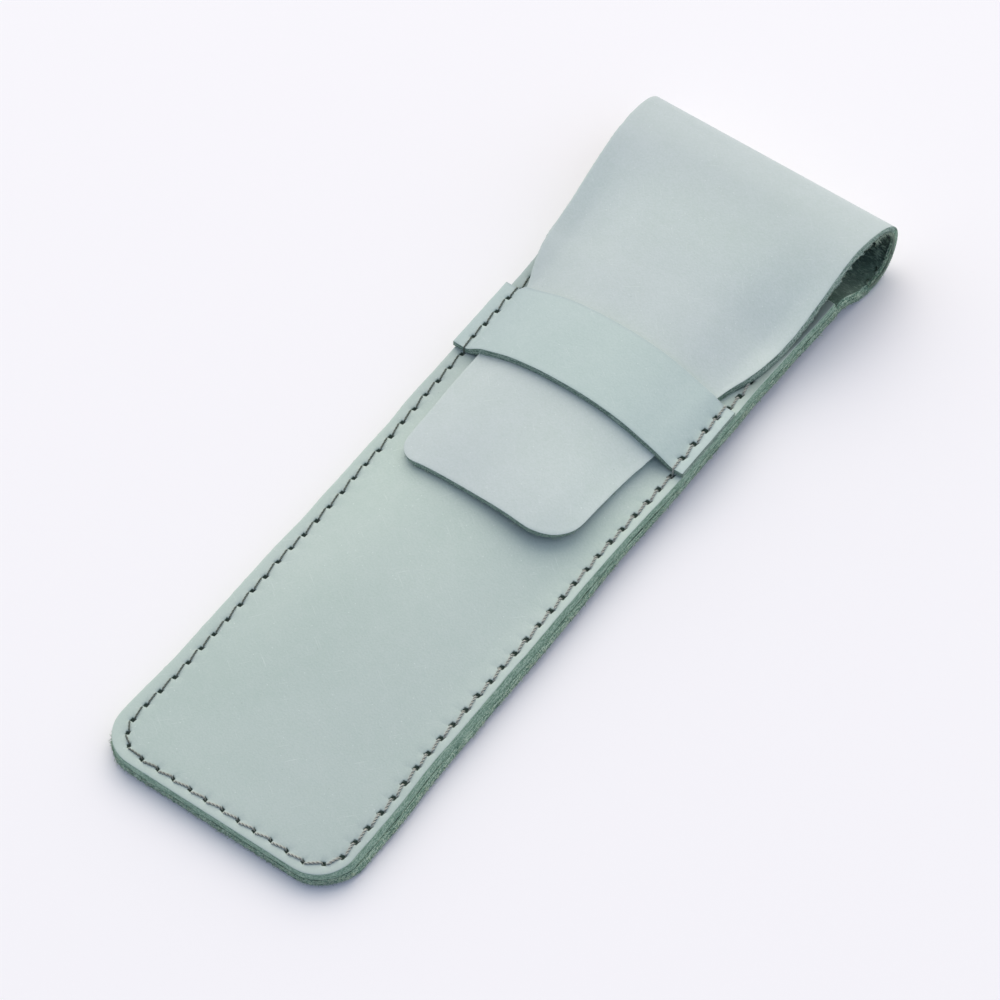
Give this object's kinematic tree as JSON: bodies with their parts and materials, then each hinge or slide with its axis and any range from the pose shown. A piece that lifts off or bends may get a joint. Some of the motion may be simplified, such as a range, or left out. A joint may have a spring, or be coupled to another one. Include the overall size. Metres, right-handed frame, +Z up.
{
  "type": "pen pouch",
  "caption": "Slim sewn leather pen pouch with a crowned pocket, a rounded fold and a tongue flap tucked under a cross strap.",
  "frame": {"origin": "middle of the pocket's flat back, on its underside", "axes": "+X across the pouch, +Y from the sewn bottom to the fold, +Z up from the back through the front"},
  "size_m": [0.0604, 0.1917, 0.0173],
  "materials": {
    "hide": "matt grey-green dyed vegetable-tanned hide with raw cut edges",
    "thread": "waxed twisted thread, grey-brown"
  },
  "bodies": {
    "pocket": {"back_panel": "hide", "front_panel": "hide", "retaining_strap": "hide", "needle_thread": "thread", "bobbin_thread": "thread"},
    "fold_lower": {"fold_lower": "hide"},
    "fold_upper": {"fold_upper": "hide"},
    "flap": {"flap_panel": "hide", "flap_tongue": "hide"}
  },
  "joints": [
    {"name": "fold_mouth", "type": "hinge", "parent": "pocket", "child": "fold_lower", "pos_m": [0, 0.0865, 0], "axis": [-1, 0, 0], "range_deg": [0, 4.25]},
    {"name": "flap_opening", "type": "hinge", "parent": "fold_lower", "child": "fold_upper", "pos_m": [0, 0.1067, 0.00485], "axis": [-1, 0, 0], "range_deg": [0, 85], "deforming": ["flap_tongue"]},
    {"name": "flap_root", "type": "hinge", "parent": "fold_upper", "child": "flap", "pos_m": [0, 0.093, 0.0133], "axis": [-1, 0, 0], "range_deg": [0, 68]}
  ],
  "couplings": [
    {"joint": "fold_mouth", "follows": "flap_opening", "ratio": 0.05},
    {"joint": "flap_root", "follows": "flap_opening", "ratio": 0.8}
  ]
}
